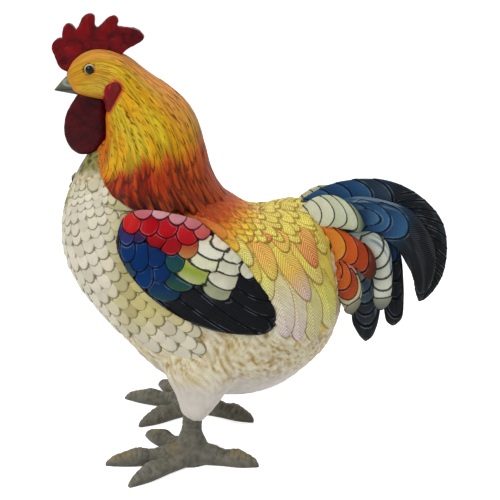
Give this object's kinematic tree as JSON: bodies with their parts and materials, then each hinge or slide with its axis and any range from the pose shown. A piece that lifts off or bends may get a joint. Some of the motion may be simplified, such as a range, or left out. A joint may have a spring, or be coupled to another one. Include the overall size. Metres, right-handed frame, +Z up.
{
  "type": "rooster figure",
  "caption": "Free-standing painted cast-resin rooster figure with raised feathers, comb, wattles and a curved tail of plumes.",
  "frame": {"origin": "on the ground, under the middle of the whole figure", "axes": "+Z up, the beak towards -X, the bird's left side towards -Y"},
  "size_m": [0.2954, 0.1698, 0.3399],
  "materials": {
    "body_paint": "satin",
    "cape_paint": "satin",
    "comb_paint": "gloss",
    "beak_paint": "satin",
    "wing_paint": "satin",
    "leg_paint": "matt",
    "plume_paint": "satin",
    "eye": "gloss",
    "resin": "matt",
    "steel": "satin",
    "plug": "matt"
  },
  "bodies": {
    "root": {"armature_rod_left": "steel", "armature_rod_right": "steel", "beak": "beak_paint", "body_shell": "body_paint", "comb": "comb_paint", "comb_pins": "steel", "ear_lobe_left": "comb_paint", "ear_lobe_right": "comb_paint", "eye_left": "eye", "eye_right": "eye", "head_cape": "cape_paint", "leg_left": "leg_paint", "leg_right": "leg_paint", "plume_barred_white_left": "plume_paint", "plume_barred_white_right": "plume_paint", "plume_black_lower": "plume_paint", "plume_blue_rear": "plume_paint", "plume_blue_sickle_left": "plume_paint", "plume_blue_sickle_right": "plume_paint", "plume_cream_covert_left": "plume_paint", "plume_cream_covert_right": "plume_paint", "plume_main_sickle": "plume_paint", "plume_orange_lower_left": "plume_paint", "plume_orange_lower_right": "plume_paint", "plume_orange_upper_left": "plume_paint", "plume_orange_upper_right": "plume_paint", "pour_plug": "plug", "tail_pins": "steel", "thigh_left": "body_paint", "thigh_right": "body_paint", "wattle_left": "comb_paint", "wattle_right": "comb_paint", "wing_left": "wing_paint", "wing_pegs": "resin", "wing_right": "wing_paint"}
  },
  "joints": []
}
